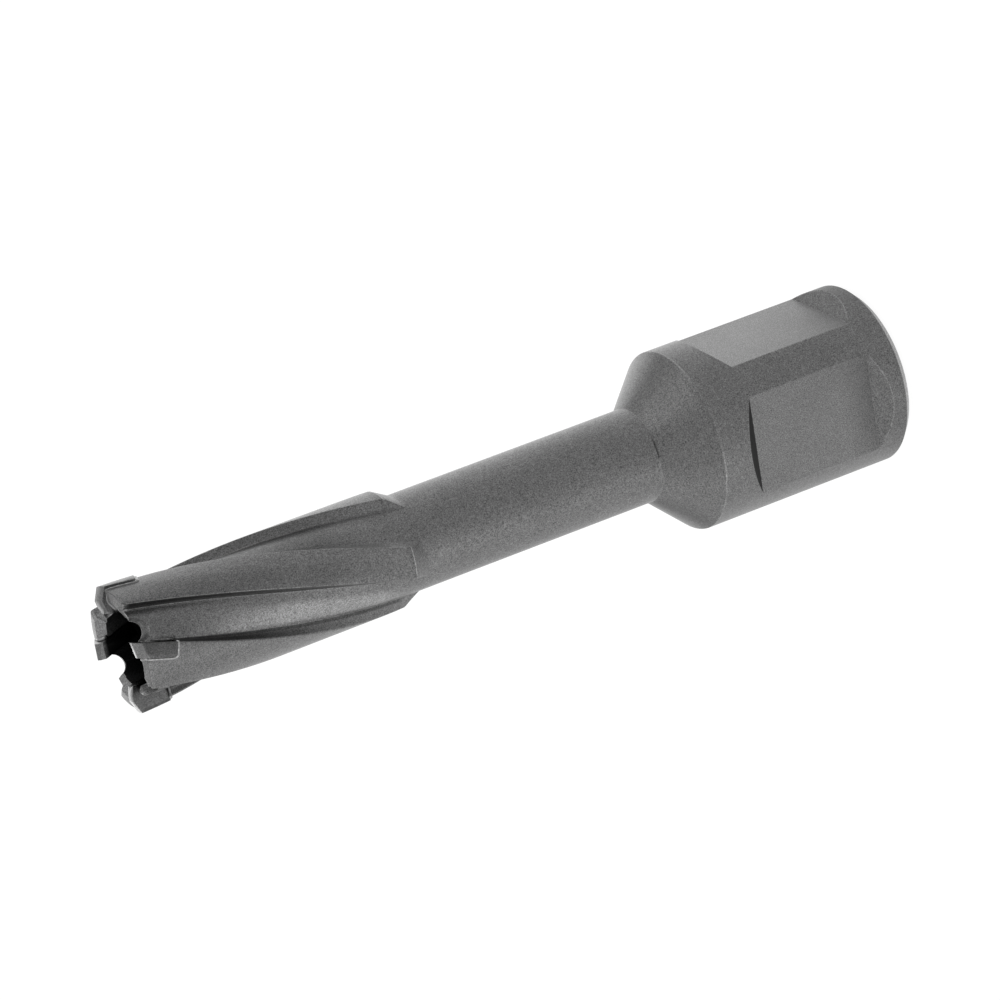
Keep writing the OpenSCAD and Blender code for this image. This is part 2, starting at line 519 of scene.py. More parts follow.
class Finish(Nodes):
    """A metal material whose patterns are laid out in millimetres on the tool."""

    def __init__(self, name: str, roughness: float) -> None:
        """Starts the material.

        Args:
            name: Real material and how it was made.
            roughness: Roughness of the surface.
        """
        self.material = bpy.data.materials.new(name)
        self.material.use_nodes = True
        super().__init__(self.material.node_tree)
        self.shader = self.tree.nodes["Principled BSDF"]
        self.shader.inputs["Metallic"].default_value = 1.0
        self.shader.inputs["Roughness"].default_value = roughness
        self.place = self.node("ShaderNodeTexCoord").outputs["Object"]
        self.parts = self.node("ShaderNodeSeparateXYZ", inputs={0: self.place}).outputs
        self.height = self.parts["Z"]
        flat = {axis: self.parts[axis] for axis in "XY"}
        across = self.node("ShaderNodeCombineXYZ", inputs=flat).outputs[0]
        length = self.node("ShaderNodeVectorMath", {"operation": "LENGTH"}, {0: across})
        self.radius = length.outputs["Value"]
        self.angle = self.math("ARCTAN2", self.parts["Y"], self.parts["X"])

    def ramp(
        self, value: Socket, span: Point2, result: Point2, unit: float = MM
    ) -> Socket:
        """Smooth step of a value between two places.

        Args:
            value: Socket of the value.
            span: Places where the step starts and ends.
            result: Results before and after the step.
            unit: Size of the unit of the span.

        Returns:
            The socket of the result.
        """
        return self.node("ShaderNodeMapRange", {"interpolation_type": "SMOOTHSTEP"}, {
            "Value": value, "From Min": span[0] * unit, "From Max": span[1] * unit,
            "To Min": result[0], "To Max": result[1]}).outputs[0]

    def band(
        self, value: Socket, rise: Point2, fall: Point2, unit: float = MM
    ) -> Socket:
        """One between two places of a value, with a soft rise and fall."""
        return self.product(self.ramp(value, rise, RISE, unit), self.ramp(value, fall, FALL, unit))

    def noise(self, size: float, detail: float, swing: float) -> Socket:
        """Factor that swings about one in spots of a size.

        Args:
            size: Size of the spots in millimetres.
            detail: Number of finer layers.
            swing: Strength of the swing.

        Returns:
            The socket of the factor.
        """
        spots = self.node("ShaderNodeTexNoise", inputs={
            "Vector": self.place, "Scale": 1 / (size * MM), "Detail": detail}).outputs[0]
        return self.node("ShaderNodeMapRange", {"clamp": False}, {
            "Value": spots, "To Min": 1 - swing, "To Max": 1 + swing}).outputs[0]

    def mix(self, share: Socket, a: object, b: object) -> Socket:
        """Value between two values or sockets, by a share."""
        return self.node("ShaderNodeMix", inputs={0: share, 2: a, 3: b}).outputs[0]

    def tone(self, share: Socket, factor: object) -> Socket:
        """A factor where a share is one, and one where it is nought."""
        return self.mix(share, 1.0, factor)

    def product(self, *factors: Socket) -> Socket:
        """Product of several factors."""
        total = factors[0]
        for factor in factors[1:]:
            total = self.math("MULTIPLY", total, factor)
        return total

    def colour(self, hex_colour: str, factor: Socket) -> None:
        """Gives the shader a base colour times a factor.

        Args:
            hex_colour: Base colour.
            factor: Socket of the factor.
        """
        tint = self.node("ShaderNodeVectorMath", {"operation": "SCALE"}, {
            0: linear(hex_colour)[:3], "Scale": factor})
        self.tree.links.new(tint.outputs[0], self.shader.inputs["Base Color"])

    def relief(self, height: Socket, depth: float, strength: float) -> None:
        """Gives the shader a fine relief.

        Args:
            height: Socket of the height.
            depth: Height of the relief in millimetres.
            strength: Strength of the effect.
        """
        bump = self.node("ShaderNodeBump", inputs={
            "Strength": strength, "Distance": depth * MM, "Height": height})
        self.tree.links.new(bump.outputs[0], self.shader.inputs["Normal"])


@dataclass(frozen=True)
class BlastedSteel:
    """Alloy steel, hardened, blasted and dark coated: an even satin grey with a fine grit speckle."""

    sizes: CutterSizes
    colour: str = "#767676"
    roughness: float = 0.45
    grit: float = 1.0
    clump: float = 0.25
    cloud: float = 0.12
    sheen_span: Point2 = (69.0, 84.0)
    flute_shade_span: Point2 = (60.0, 66.0)
    wall_shade_span: Point2 = (60.0, 78.0)
    land_span: Point2 = (68.0, 84.0)

    def material(self) -> Material:
        """Builds the material.

        Returns:
            The node material.
        """
        finish = Finish("hardened_steel_blasted_dark", self.roughness)
        # The grit is drawn at the size at which it shows, coarser than the real blast marks.
        grit = finish.noise(0.12, 1.0, self.grit)
        clumps = finish.noise(0.4, 2.0, self.clump)
        speckle_and_lit_lands = finish.product(grit, clumps, finish.noise(5.0, 3.0, self.cloud))
        parts = self.bore, self.flutes, self.gullets, self.lands, self.shank
        zones = finish.product(*[part(finish) for part in parts])
        finish.colour(self.colour, finish.product(speckle_and_lit_lands, zones))
        finish.relief(grit, 0.01, 0.25)
        return finish.material

    def bore(self, finish: Finish) -> Socket:
        """Factor of the slug bore: painted shade that makes it show black."""
        r = self.sizes.slug_r
        # Painted shade: the bore is painted near black.
        return finish.ramp(finish.radius, (r - 0.02, r + 0.06), (0.03, 1.0))

    def head(self, finish: Finish) -> Socket:
        """One on the fluted length between the back of the lands and the steel end."""
        back, end = self.sizes.land_back_z, self.sizes.total_l
        return finish.band(finish.height, (back + 0.1, back + 0.9), (end - 1.6, end - 1.2))

    def turned(self, finish: Finish) -> Socket:
        """Angle round the axis from the first land, with the helix taken out.

        Args:
            finish: Material that takes the nodes.

        Returns:
            The socket of the angle in radians, between minus and plus half a turn.
        """
        s = self.sizes
        helix = finish.node("ShaderNodeMapRange", inputs={
            "Value": finish.height, "From Min": s.head_foot_z * MM, "From Max": s.total_l * MM,
            "To Max": math.tau * (s.total_l - s.head_foot_z) / s.flute_lead}).outputs[0]
        start = math.radians(s.tip_phase + s.root_mid(s.head_foot_z))
        turned = finish.math("SUBTRACT", finish.math("SUBTRACT", finish.angle, helix), start)
        return finish.math("WRAP", turned, math.pi, -math.pi)

    def flutes(self, finish: Finish) -> Socket:
        """Factor of the flutes: a painted sheen and painted shade on the floors, painted shade and a
        painted highlight on the walls, and a painted shade line along each root.

        Args:
            finish: Material that takes the nodes.

        Returns:
            The socket of the factor.
        """
        s, n = self.sizes, self.sizes.neck_r
        turned = self.turned(finish)
        # Set to the photo, in which the flutes on one side of the first land are the paler ones.
        # Painted light: the flutes on one side of the first land take the painted sheen on their floors,
        # painted shade lines at their roots and painted shade on their walls; the other flutes take
        # painted shade on their floors and a painted highlight on their walls.
        sheen_side = finish.ramp(turned, (-8, 8), (1.0, 0.1), DEGREE)
        half = math.pi / TOOTH_COUNT
        across = finish.math("WRAP", turned, half, -half)
        behind = finish.ramp(across, (-44, -33), FALL, DEGREE)
        ahead = finish.ramp(across, (24, 31), RISE, DEGREE)
        floor = finish.band(finish.radius, (n - 0.5, n - 0.4), (n + 0.03, n + 0.12))
        # Also set to the photo: the floors grow darker towards the tips.
        # The painted sheen is strongest towards the back of the head and turns to painted shade near the
        # tips.
        pale = finish.ramp(finish.height, self.sheen_span, (1.6, 0.85))
        back = finish.ramp(finish.height, (s.land_back_z, s.land_back_z + 4.0), RISE)
        # Painted shade on the floors of the other flutes, deepening towards the tips.
        flute_shade = finish.ramp(finish.height, self.flute_shade_span, (0.74, 0.42))
        # ground is the part of the floors that takes the painted sheen.
        ground = finish.product(floor, sheen_side, back, finish.math("MAXIMUM", behind, ahead))
        sheen = finish.mix(ground, finish.tone(floor, finish.mix(sheen_side, flute_shade, 1.0)), pale)
        # A painted shade line along the root of each wall on the sheen side.
        line = finish.band(finish.radius, (n + 0.01, n + 0.04), (n + 0.22, n + 0.4))
        root = finish.tone(finish.product(sheen_side, line), 0.5)
        # Painted shade on the walls on the sheen side, deepening towards the tips, and a painted highlight
        # on the other walls.
        dim = finish.ramp(finish.height, self.wall_shade_span, (0.9, 0.32))
        side = finish.band(finish.radius, (n + 0.1, n + 0.6), (n + 0.92, n + 1.02))
        wall = finish.mix(finish.product(sheen_side, side), finish.mix(sheen_side, 1.25, 1.0), dim)
        return finish.tone(self.head(finish), finish.product(sheen, root, wall))

    def gullets(self, finish: Finish) -> Socket:
        """Factor of the chip spaces at the end: painted shade that makes them dimmer than the lands.

        Args:
            finish: Material that takes the nodes.

        Returns:
            The socket of the factor.
        """
        low, high, end = self.sizes.slug_r, self.sizes.neck_r, self.sizes.total_l
        inner = finish.band(finish.radius, (low + 0.06, low + 0.12), (high - 0.06, high - 0.02))
        below = finish.ramp(finish.height, (end - 1.45, end - 1.25), FALL)
        # Painted shade in the chip spaces.
        return finish.tone(finish.product(inner, below), 0.55)

    def lands(self, finish: Finish) -> Socket:
        """Factor of the land tops: dimmer towards the tips, with a painted highlight on the edge at their
        back, and the lands on one side painted lighter.

        Args:
            finish: Material that takes the nodes.

        Returns:
            The socket of the factor.
        """
        s, z = self.sizes, self.sizes.land_back_z
        top = finish.ramp(finish.radius, (s.land_r - 0.2, s.land_r - 0.13), RISE)
        # Painted light: the lands on one side are painted lighter.
        speckle_and_lit_lands = finish.ramp(self.turned(finish), (-55, -45), (1.18, 1.0), DEGREE)
        dim = finish.product(speckle_and_lit_lands, finish.ramp(finish.height, self.land_span, (0.88, 0.74)))
        # A painted highlight along the edge at the back of the lands.
        edge = finish.band(finish.height, (z - 0.1, z - 0.04), (z + 0.04, z + 0.1))
        shoulder = finish.ramp(finish.radius, (s.neck_r + 0.9, s.neck_r + 0.98), RISE)
        body = finish.ramp(finish.height, (s.head_foot_z, z), RISE)
        plain = finish.tone(finish.product(top, body), dim)
        return finish.product(plain, finish.tone(finish.product(edge, shoulder), 1.9))

    def shank(self, finish: Finish) -> Socket:
        """Factor of the shank: its flats and their ends, the cone and the chamfer."""
        parts = self.flats, self.flat_ends, self.cone, self.chamfer
        return finish.product(*[part(finish) for part in parts])

    def flats(self, finish: Finish) -> Socket:
        """Factor of the two milled flats, set to the photo.

        Args:
            finish: Material that takes the nodes.

        Returns:
            The socket of the factor.
        """
        z = self.sizes.flat_from
        # The near flat is darker at its lower end and lighter further up; the top flat is painted lighter,
        # as the side that faces the light.
        down = finish.math("MULTIPLY", finish.parts["Y"], -1.0)
        near = finish.tone(self.flat(finish, down), finish.ramp(finish.height, (z, z + 4.2), (0.86, 1.12)))
        return finish.product(near, finish.tone(self.flat(finish, finish.parts["X"]), 1.24))

    def flat_ends(self, finish: Finish) -> Socket:
        """Factor beside the flats: a dim foot, a brow below it with a painted highlight and a run-out
        darkened by painted shade.

        Args:
            finish: Material that takes the nodes.

        Returns:
            The socket of the factor.
        """
        s, z, r = self.sizes, self.sizes.flat_from, self.sizes.shank_r
        foot = finish.product(finish.band(finish.height, (z - 0.3, z - 0.1), (z + 0.15, z + 0.6)),
                              finish.ramp(finish.radius, (r - 0.12, r - 0.05), FALL))
        # A painted highlight along the outer edge of the lower ramp.
        brow_highlight = finish.product(finish.band(finish.radius, (r - 0.15, r - 0.1), (r - 0.02, r - 0.008)),
                              finish.band(finish.height, (1.2, 1.4), (z - 0.3, z)))
        # Painted shade on the run-out at the upper end of the flats.
        rise, fall = (s.flat_to, s.flat_to + 0.05), (s.shank_l - 2.4, s.shank_l - 2.3)
        run_out_shade = finish.product(finish.band(finish.height, rise, fall),
                                 finish.ramp(finish.radius, (r - 0.06, r - 0.03), FALL))
        return finish.product(finish.tone(foot, 0.95), finish.tone(brow_highlight, 1.32), finish.tone(run_out_shade, 0.12))

    def cone(self, finish: Finish) -> Socket:
        """Factor of the turned cone, a painted highlight on its lip and painted shade in the corner of the
        neck.

        Args:
            finish: Material that takes the nodes.

        Returns:
            The socket of the factor.
        """
        low, high = self.sizes.shank_l, self.sizes.shank_l + self.sizes.cone_l
        # A painted highlight on the rounded lip between shank and cone.
        lip = finish.band(finish.height, (low - 0.16, low - 0.08), (low + 0.02, low + 0.1))
        cone = finish.band(finish.height, (low, low + 0.1), (high - 0.1, high))
        corner = finish.band(finish.height, (high - 0.12, high - 0.04), (high + 0.04, high + 0.12))
        # Painted shade in the corner of the neck.
        corner_shade = finish.product(corner, finish.band(finish.angle, (-82, -74), (-60, -50), DEGREE))
        return finish.product(finish.tone(lip, 1.25), finish.tone(cone, 0.93), finish.tone(corner_shade, 0.45))

    def chamfer(self, finish: Finish) -> Socket:
        """Factor of the bright turned chamfer.

        Args:
            finish: Material that takes the nodes.

        Returns:
            The socket of the factor.
        """
        z, r = self.sizes.shank_chamfer, self.sizes.shank_r
        low = finish.ramp(finish.height, (z - 0.2, z), FALL)
        return finish.tone(finish.product(low, finish.ramp(finish.radius, (r - 1.0, r - 0.8), RISE)), 2.6)

    def flat(self, finish: Finish, out: Socket) -> Socket:
        """One on the plane of a clamping flat, and nought off it.

        Args:
            finish: Material that takes the nodes.
            out: Distance in the direction that the flat faces.

        Returns:
            The socket of the share.
        """
        low, high, r = self.sizes.flat_from, self.sizes.flat_to, self.sizes.shank_r - self.sizes.flat_depth
        plane = finish.band(out, (r - 0.06, r - 0.03), (r + 0.03, r + 0.1))
        length = finish.band(finish.height, (low - 0.1, low + 0.1), (high, high + 0.05))
        return finish.product(plane, length)


@dataclass(frozen=True)
class GroundCarbide:
    """Tungsten carbide, sintered and ground: darker and closer than the steel, with a sharper gloss."""

    colour: str = "#666666"
    roughness: float = 0.36
    bore_shade_span: Point2 = (3.8, 4.5)
    edge_span: Point2 = (86.7, 87.1)
    outer_span: Point2 = (6.12, 6.24)

    def material(self) -> Material:
        """Builds the material.

        Returns:
            The node material.
        """
        finish = Finish("tungsten_carbide_ground", self.roughness)
        grit = finish.noise(0.12, 1.0, 0.9)
        # Painted shade on the part of the tip inside the bore.
        inside = finish.ramp(finish.radius, self.bore_shade_span, (0.08, 1.0))
        edge = finish.ramp(finish.height, self.edge_span, RISE)
        outside = finish.ramp(finish.radius, self.outer_span, (1.0, 0.74))
        zones = finish.product(finish.mix(edge, inside, 1.0), finish.mix(edge, outside, 1.0))
        finish.colour(self.colour, finish.product(grit, finish.noise(0.7, 2.0, 0.25), zones))
        finish.relief(grit, 0.006, 0.2)
        return finish.material


@dataclass(frozen=True)
class SilverBraze:
    """Silver solder that ran and froze along the seam: a pale, softly shining bead."""

    colour: str = "#a0a0a0"
    roughness: float = 0.38
    low_span: Point2 = (85.6, 86.1)
    deep_span: Point2 = (5.98, 6.08)

    def material(self) -> Material:
        """Builds the material.

        Returns:
            The node material.
        """
        finish = Finish("silver_solder_frozen", self.roughness)
        # Painted shade on the part of the bead inside the bore.
        inside = finish.ramp(finish.radius, (4.0, 4.3), (0.04, 1.0))
        # Set to the photo, in which the beads of two tips are duller.
        duller_pair = finish.ramp(finish.angle, (-38, -28), (1.0, 0.65), DEGREE)
        uneven = finish.product(finish.noise(0.25, 2.0, 0.35), finish.noise(0.8, 1.0, 0.3))
        low = finish.product(finish.ramp(finish.height, self.low_span, FALL),
                             finish.ramp(finish.radius, self.deep_span, FALL))
        dull = finish.tone(low, finish.noise(0.3, 2.0, 0.9))
        finish.colour(self.colour, finish.product(uneven, inside, duller_pair, dull, finish.tone(low, 0.42)))
        return finish.material


@dataclass
class CutterBody:
    """The one-piece steel body: shank, cone, neck and fluted head."""

    sizes: CutterSizes
    floor_steps: int = 8
    wall_steps: int = 4
    land_steps: int = 14
    corner_steps: int = 4
    ring_pitch: float = 0.35
    root_fillet: float = 0.2
    edge_round: float = 0.12
    end_round: float = 0.08
    neck_fillet: float = 0.1
    flat_run_out: float = 0.04
    end_corner: float = 0.38
    recess_w: float = 0.85
    recess_round: float = 0.7
    recess_u: float = 4.95
    gullet_lip: float = 0.2
    gullet_rim: float = 0.1
    fillet_share: float = 0.4
    edge_share: float = 0.12
    turned_pitch: float = 0.8
    overrun: float = 2.0
    lathe_steps: int = 192
    crisp: float = 32.0
    seat_u: float = 2.6
    recess_drop: float = 0.12
    recess_back: float = 0.05
    gullet_top: float = 3.0
    gullet_reach: Point2 = (-1.5, 4.0)
    corner_meet: float = 8.0
    corner_clear: float = 1.6
    corner_radii: tuple[float, ...] = (3.4, 3.95, 4.3, 4.65, 5.0, 5.25, 5.5, 5.8, 6.1, 6.5, 7.2)

    def head_ring(self, z: float) -> list[Vector]:
        """Outline of the head with straight lands at a height.

        Args:
            z: Height in millimetres.

        Returns:
            Points round the tool, the same number at every height.
        """
        s = self.sizes
        outer = s.outer_r(z)
        share = (outer - s.neck_r) / (s.land_r - s.neck_r)
        ring = []
        for tooth in range(TOOTH_COUNT):
            middle = s.tip_phase + tooth * 360 / TOOTH_COUNT + s.root_mid(s.head_foot_z)
            walls = []
            for side in (-1, 1):
                root = polar(s.neck_r, middle + side * s.land_root / 2)
                full = polar(s.land_r, middle - s.land_lag + side * s.top_width(z) / 2)
                walls.append((root, root + (full - root) * share))
            ring += self.land_outline(walls, outer, middle)
        return ring

    def land_outline(
        self, walls: list[tuple[Vector, Vector]], outer: float, middle: float
    ) -> list[Vector]:
        """Outline of one land, from the middle of the flute behind it to the middle of the one ahead.

        Args:
            walls: Root and top point of the trailing wall and of the leading wall.
            outer: Radius of the land top.
            middle: Angle of the land's root middle in degrees.

        Returns:
            The points in order of rising angle.
        """
        s, n = self.sizes, self.corner_steps
        (root_t, top_t), (root_l, top_l) = walls
        height = outer - s.neck_r
        fillet = min(self.root_fillet, self.fillet_share * height)
        edge = min(self.edge_round, self.edge_share * height)
        foot_t = rounded_corner(root_t - tangent(root_t), root_t, top_t, fillet, n)
        edge_t = rounded_corner(root_t, top_t, top_t + tangent(top_t), edge, n)
        edge_l = rounded_corner(top_l - tangent(top_l), top_l, root_l, edge, n)
        foot_l = rounded_corner(top_l, root_l, root_l + tangent(root_l), fillet, n)
        half_pitch = 180 / TOOTH_COUNT
        ends = foot_t[0], edge_t[-1], edge_l[0], foot_l[-1]
        from_t, rise_t, fall_l, to_l = [middle + (heading(p) - middle + 180) % 360 - 180 for p in ends]
        behind = bow(s.neck_r, middle - half_pitch, from_t, self.floor_steps)[:-1]
        crown = bow(outer, rise_t, fall_l, self.land_steps)[1:-1]
        ahead = bow(s.neck_r, to_l, middle + half_pitch, self.floor_steps)[1:-1]
        return (behind + foot_t + self.between(foot_t[-1], edge_t[0]) + edge_t + crown
                + edge_l + self.between(edge_l[-1], foot_l[0]) + foot_l + ahead)

    def between(self, a: Vector, b: Vector) -> list[Vector]:
        """Points inside the straight stretch of a wall."""
        return [a + (b - a) * i / self.wall_steps for i in range(1, self.wall_steps)]

    def soften(self, corners: list[tuple[float, float, float]], steps: int) -> list[Vector]:
        """Rounds the corners of an open line.

        Args:
            corners: Radius, height and rounding of each corner.
            steps: Number of chords on each arc.

        Returns:
            The points of the softened line.
        """
        spots = [Vector(c[:2]) for c in corners]
        line = [spots[0]]
        for i in range(1, len(corners) - 1):
            line += rounded_corner(spots[i - 1], spots[i], spots[i + 1], corners[i][2], steps)
        return line + [spots[-1]]

    def turned_profile(self) -> list[Point2]:
        """Radius and height of the turned rings, from the foot of the shank to the back of the head.

        Returns:
            The points in order.
        """
        s = self.sizes
        line = self.soften([
            (s.shank_r - s.shank_chamfer - 0.2, 0.0, 0.0),
            (s.shank_r - s.shank_chamfer, 0.0, 0.15),
            (s.shank_r, s.shank_chamfer, 0.15),
            (s.shank_r, s.shank_l, 0.14),
            (s.neck_r, s.shank_l + s.cone_l, self.neck_fillet),
            (s.neck_r, s.head_foot_z - self.ring_pitch, 0.0)], 5)
        rings = [line[0]]
        for a, b in zip(line, line[1:]):
            parts = max(1, round((b - a).length / self.turned_pitch))
            rings += [a + (b - a) * i / parts for i in range(1, parts + 1)]
        return [(p.x, p.y) for p in rings]

    def rings(self) -> list[list[Point3]]:
        """All rings of the outside before it is cut, from the foot up.

        Returns:
            One list of points for each ring.
        """
        s = self.sizes
        high = s.total_l + 0.6
        heights = [s.head_foot_z + s.land_bevel_l * i / 6 for i in range(6)]
        count = round((high - s.land_back_z) / self.ring_pitch)
        heights += [s.land_back_z + (high - s.land_back_z) * i / count for i in range(count + 1)]
        base = [p.normalized() for p in self.head_ring(s.head_foot_z)]
        found = [[tuple(p * r) + (z,) for p in base] for r, z in self.turned_profile()]
        return found + [[tuple(p) + (z,) for p in self.head_ring(z)] for z in heights]

    def turning_tool(self) -> Piece:
        """Cutter for the bores and the end of the head, as a lathe makes them.

        Returns:
            The closed turned cutter.
        """
        s = self.sizes
        step_z, mouth_z = s.total_l - s.slug_l, s.steel_end_z(s.slug_r)
        rim_r = s.outer_r(s.total_l - s.steel_back)
        line = self.soften([
            (s.pin_bore_r + s.pin_countersink + 1.0, -1.0, 0.0),
            (s.pin_bore_r, s.pin_countersink, 0.05),
            (s.pin_bore_r, step_z, 0.1),
            (s.slug_r, step_z, 0.1),
            (s.slug_r, mouth_z, 0.04),
            (s.tip_apex_r, s.steel_end_z(s.tip_apex_r), 0.1),
            (rim_r, s.steel_end_z(rim_r), self.end_round),
            (rim_r, s.steel_end_z(rim_r) - 0.3, 0.0)], 6)
        top = s.total_l + self.overrun
        outline = [(0.0, -1.0)] + [(p.x, p.y) for p in line]
        outline += [(rim_r + 1, line[-1].y), (rim_r + 1, top), (0.0, top)]
        turn = self.lathe_steps
        points = [tuple(polar(r, 360 * k / turn)) + (z,) for k in range(turn) for r, z in outline]
        n = len(outline)
        faces = []
        for k in range(turn):
            a, b = k * n, (k + 1) % turn * n
            faces += [(a + i, b + i, b + (i + 1) % n, a + (i + 1) % n) for i in range(n - 1)]
        return link_mesh("turning", points, faces)

    def bar(self, name: str, outline: list[Point2], low: float, high: float) -> Piece:
        """Straight bar along a tooth's outward axis, with an outline given along the tip's face.

        Args:
            name: Name of the new object.
            outline: Points ahead of the rake face and along it.
            low: Start of the bar along the outward axis.
            high: End of the bar.

        Returns:
            The closed bar.
        """
        places = [self.sizes.leaning(x, y) for x, y in outline]
        return loft(name, [[(u, v, z) for v, z in places] for u in (low, high)])

    def seat_cutter(self) -> Piece:
        """Cutter for the seat of a tip and its braze.

        Returns:
            The closed cutter in the frame of one tooth.
        """
        s = self.sizes
        thick, low, r = s.tip_t + s.braze_t, -s.tip_l - s.braze_t, s.tip_round + s.braze_t
        arc = [tuple(Vector((r - thick, low + r)) + p) for p in bow(r, 180, 270, 8)]
        outline = [(0.0, low), (0.0, self.overrun), (-thick, self.overrun)] + arc
        return self.bar("seat", outline, self.seat_u, s.cut_r + self.overrun)

    def recess_cutter(self) -> Piece:
        """Cutter for the shallow milled recess ahead of a tip's rake face.

        Returns:
            The closed cutter in the frame of one tooth.
        """
        s, w, r = self.sizes, self.recess_w, self.recess_round
        low = -self.recess_drop - s.tip_l - s.braze_t
        arc = [tuple(Vector((w - r, low + r)) + p) for p in bow(r, -90, 0, 8)]
        back = -self.recess_back
        outline = [(back, low)] + arc + [(w, self.overrun), (back, self.overrun)]
        return self.bar("recess", outline, self.recess_u, s.cut_r + self.overrun)

    def gullet_cutter(self) -> Piece:
        """Cutter for the round-bottomed chip space ahead of a tip, with softened lips.

        Returns:
            A closed horn in the frame of one tooth.
        """
        s = self.sizes
        flare = math.radians(s.gullet_flare)
        axis_z = s.total_l - s.gullet_depth + s.gullet_r
        v = s.rake_v(axis_z) + s.gullet_r * math.cos(flare) - 0.05
        u = math.sqrt(s.slug_r ** 2 - v ** 2)
        horn = Matrix.Translation((u, v, axis_z)) @ Matrix.Rotation(flare, 4, "Z")
        wall = (s.neck_r - s.slug_r) / math.cos(flare)
        lip, rim = self.gullet_lip, self.gullet_rim
        stations = [(self.gullet_reach[0], rim), (0.0, rim)]
        for i in range(1, 5):
            inward = rim * i / 4
            stations.append((inward, rim - math.sqrt(rim ** 2 - (rim - inward) ** 2)))
        stations += [(wall - 2 * lip, 0.0), (wall - lip, 0.3 * lip), (wall + 0.06, lip)]
        stations += [(wall + 0.06 + 1.5 * lip, 0.0), (self.gullet_reach[1], 0.0)]
        sections = []
        for along, more in stations:
            r = s.gullet_r + along * math.tan(flare) + more
            outline = [(p.x, p.y) for p in bow(r, 180, 360, 28)]
            outline += [(r, self.gullet_top), (-r, self.gullet_top)]
            sections.append([tuple(horn @ Vector((along, y, z))) for y, z in outline])
        return loft("gullet", sections)

    def corner_cutter(self) -> Piece:
        """Cutter that rounds the trailing corner of a tooth's steel end.

        Returns:
            The closed cutter in the frame of one tooth.
        """
        s = self.sizes
        meet = math.radians(self.corner_meet)
        sections = []
        for r in self.corner_radii:
            share = min(1.0, max(0.0, (r - s.neck_r) / (s.land_r - s.neck_r)))
            inner = max(0.0, (r - s.slug_r) / (s.neck_r - s.slug_r))
            size = self.end_corner * min(1.0, 0.3 + 0.7 * inner)
            top = s.steel_end_z(r)
            hub = Vector((size * math.cos(meet), top - size * math.cos(meet)))
            arc = bow(size, 180 - self.corner_meet, 90 + self.corner_meet, 10)
            bend = [hub + p for p in arc]
            behind, high = -self.corner_clear, s.total_l + 1
            foot = Vector((behind, bend[0].y - 0.3 * size))
            section = []
            for spot in [foot] + bend + [Vector((bend[-1].x, high)), Vector((behind, high))]:
                root, land = s.land_root / 2, s.land_lag + s.top_width(spot.y) / 2
                wall = s.root_mid(spot.y) - root + (root - land) * share
                section.append(tuple(polar(r, wall + math.degrees(spot.x / r))) + (spot.y,))
            sections.append(section)
        return loft("corner", sections)

    def flat_cutter(self, degrees: float) -> Piece:
        """Cutter for one clamping flat with a ramp at each end.

        Args:
            degrees: Direction that the flat faces.

        Returns:
            The closed cutter.
        """
        s = self.sizes
        flat_r, clear = s.shank_r - s.flat_depth, s.flat_depth + self.overrun
        low = Vector((flat_r + clear, s.flat_from - clear))
        high = Vector((flat_r, s.flat_to))
        bend = rounded_corner(low, Vector((flat_r, s.flat_from)), high, self.flat_run_out, 12)
        outline = [tuple(p) for p in [low] + bend + [high, high + Vector((clear, clear))]]
        spin = Matrix.Rotation(math.radians(degrees), 4, "Z")
        sides = (-s.shank_r, s.shank_r)
        sections = [[tuple(spin @ Vector((r, side, z))) for r, z in outline] for side in sides]
        return loft(f"flat_{degrees:g}", sections)

    def build(self, material: Material) -> Piece:
        """Builds the body and cuts its flats, seats, recesses and gullets.

        Args:
            material: Finish of the steel.

        Returns:
            The finished mesh object.
        """
        piece = loft("steel_body", self.rings())
        twist(piece, self.sizes, material)
        combine(piece, [self.turning_tool()] + [self.flat_cutter(a) for a in (-90, 0)], Join.CUT)
        tools = self.corner_cutter(), self.seat_cutter(), self.recess_cutter(), self.gullet_cutter()
        for tool in tools:
            spread_round(tool, self.sizes, material)
            combine(piece, [tool], Join.CUT)
        weld(piece.data, piece.data, WELD_CUT)
        dress(piece, material, self.crisp)
        return piece


